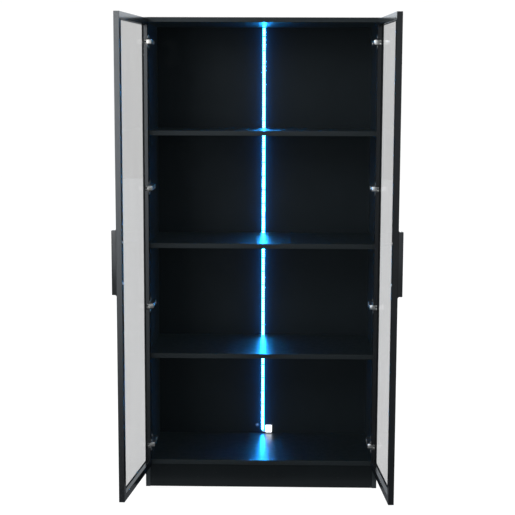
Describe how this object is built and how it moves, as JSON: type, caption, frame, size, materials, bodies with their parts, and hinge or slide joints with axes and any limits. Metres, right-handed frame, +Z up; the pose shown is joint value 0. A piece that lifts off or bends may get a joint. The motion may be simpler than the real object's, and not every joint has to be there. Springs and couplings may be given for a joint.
{
  "type": "display cabinet",
  "caption": "Tall black display cabinet with shelves, a light strip up the back, and a pair of glazed doors on concealed hinges.",
  "frame": {"origin": "middle of the bounding box of the cabinet with its doors open as at rest, on the floor", "axes": "+Z up, the doors open towards -Y, +X to the right for someone who faces the cabinet"},
  "size_m": [0.8934, 0.7642, 1.605],
  "materials": {
    "board": "charcoal black melamine on particle board, fine satin texture",
    "back_board": "black faced fibreboard, satin",
    "door_frame": "black anodised, satin",
    "glass": "clear float glass",
    "gasket": "black, matt",
    "pull": "black anodised, satin",
    "nickel": "nickel plated",
    "screw": "zinc plated",
    "light_strip": "clear silicone over light chips",
    "connector": "white moulded plastic"
  },
  "bodies": {
    "carcass": {"side_panel_left": "board", "side_panel_right": "board", "top_panel": "board", "bottom_panel": "board", "toe_kick": "board", "plinth_rear_rail": "board", "shelf_upper": "board", "shelf_middle": "board", "shelf_lower": "board", "back_panel": "back_board", "cable_grommet": "gasket", "led_strip": "light_strip", "led_connector": "connector", "led_lead": "connector", "hinge_plate_left_top": "nickel", "hinge_plate_left_upper": "nickel", "hinge_plate_left_lower": "nickel", "hinge_plate_left_bottom": "nickel", "hinge_arm_left_top": "nickel", "hinge_arm_left_upper": "nickel", "hinge_arm_left_lower": "nickel", "hinge_arm_left_bottom": "nickel", "hinge_plate_right_top": "nickel", "hinge_plate_right_upper": "nickel", "hinge_plate_right_lower": "nickel", "hinge_plate_right_bottom": "nickel", "hinge_arm_right_top": "nickel", "hinge_arm_right_upper": "nickel", "hinge_arm_right_lower": "nickel", "hinge_arm_right_bottom": "nickel"},
    "left_door": {"left_stile_hinge": "door_frame", "left_stile_free": "door_frame", "left_rail_top": "door_frame", "left_rail_bottom": "door_frame", "left_glass": "glass", "left_glazing_gasket": "gasket", "left_pull": "pull", "left_pull_screw_lower": "screw", "left_pull_screw_upper": "screw", "left_hinge_cup_top": "nickel", "left_hinge_cup_upper": "nickel", "left_hinge_cup_lower": "nickel", "left_hinge_cup_bottom": "nickel"},
    "right_door": {"right_stile_hinge": "door_frame", "right_stile_free": "door_frame", "right_rail_top": "door_frame", "right_rail_bottom": "door_frame", "right_glass": "glass", "right_glazing_gasket": "gasket", "right_pull": "pull", "right_pull_screw_lower": "screw", "right_pull_screw_upper": "screw", "right_hinge_cup_top": "nickel", "right_hinge_cup_upper": "nickel", "right_hinge_cup_lower": "nickel", "right_hinge_cup_bottom": "nickel"}
  },
  "joints": [
    {"name": "left_door_hinge", "type": "hinge", "parent": "carcass", "child": "left_door", "pos_m": [-0.3808, 0.00575, 0.839], "axis": [0, 0, -1], "range_deg": [-96.6, 3.4]},
    {"name": "right_door_hinge", "type": "hinge", "parent": "carcass", "child": "right_door", "pos_m": [0.3982, 0.00575, 0.839], "axis": [0, 0, 1], "range_deg": [-94, 6]}
  ]
}
